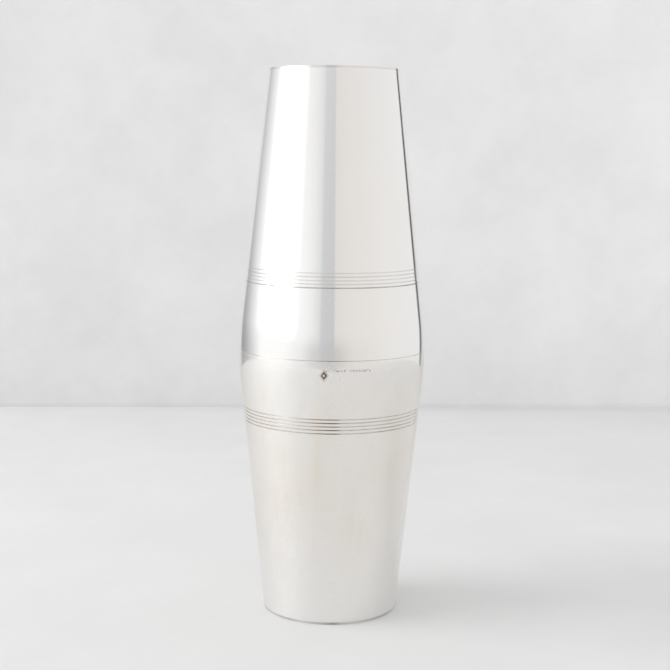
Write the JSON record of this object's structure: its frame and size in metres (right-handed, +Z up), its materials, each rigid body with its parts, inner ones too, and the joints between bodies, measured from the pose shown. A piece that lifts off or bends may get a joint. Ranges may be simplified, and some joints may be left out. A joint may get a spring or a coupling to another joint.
{
  "type": "cocktail shaker",
  "caption": "Cocktail shaker of tapered silver-plated cups set mouth to mouth on a plug-in collar, with bands of turned ring lines.",
  "frame": {"origin": "centre of the foot, on the surface that the shaker stands on", "axes": "+Z up the shaker's axis of symmetry, +X to the right and -Y towards the viewer"},
  "size_m": [0.094, 0.094, 0.273],
  "materials": {
    "silver_plate": "mirror-polished silver plate, darkened in the ring lines",
    "collar_plate": "satin-turned silver plate",
    "silver_solder": "matt solder"
  },
  "bodies": {
    "lower_cup": {"lower_cup_wall": "silver_plate", "lower_base_plate": "silver_plate", "lower_base_solder": "silver_solder"},
    "upper_cup": {"upper_cup_wall": "silver_plate", "upper_base_plate": "silver_plate", "upper_base_solder": "silver_solder", "joint_collar": "collar_plate", "collar_solder": "silver_solder"}
  },
  "joints": [
    {"name": "upper_cup_lift", "type": "slide", "parent": "lower_cup", "child": "upper_cup", "axis": [0, 0, 1], "range_m": [0, 0.06]}
  ]
}
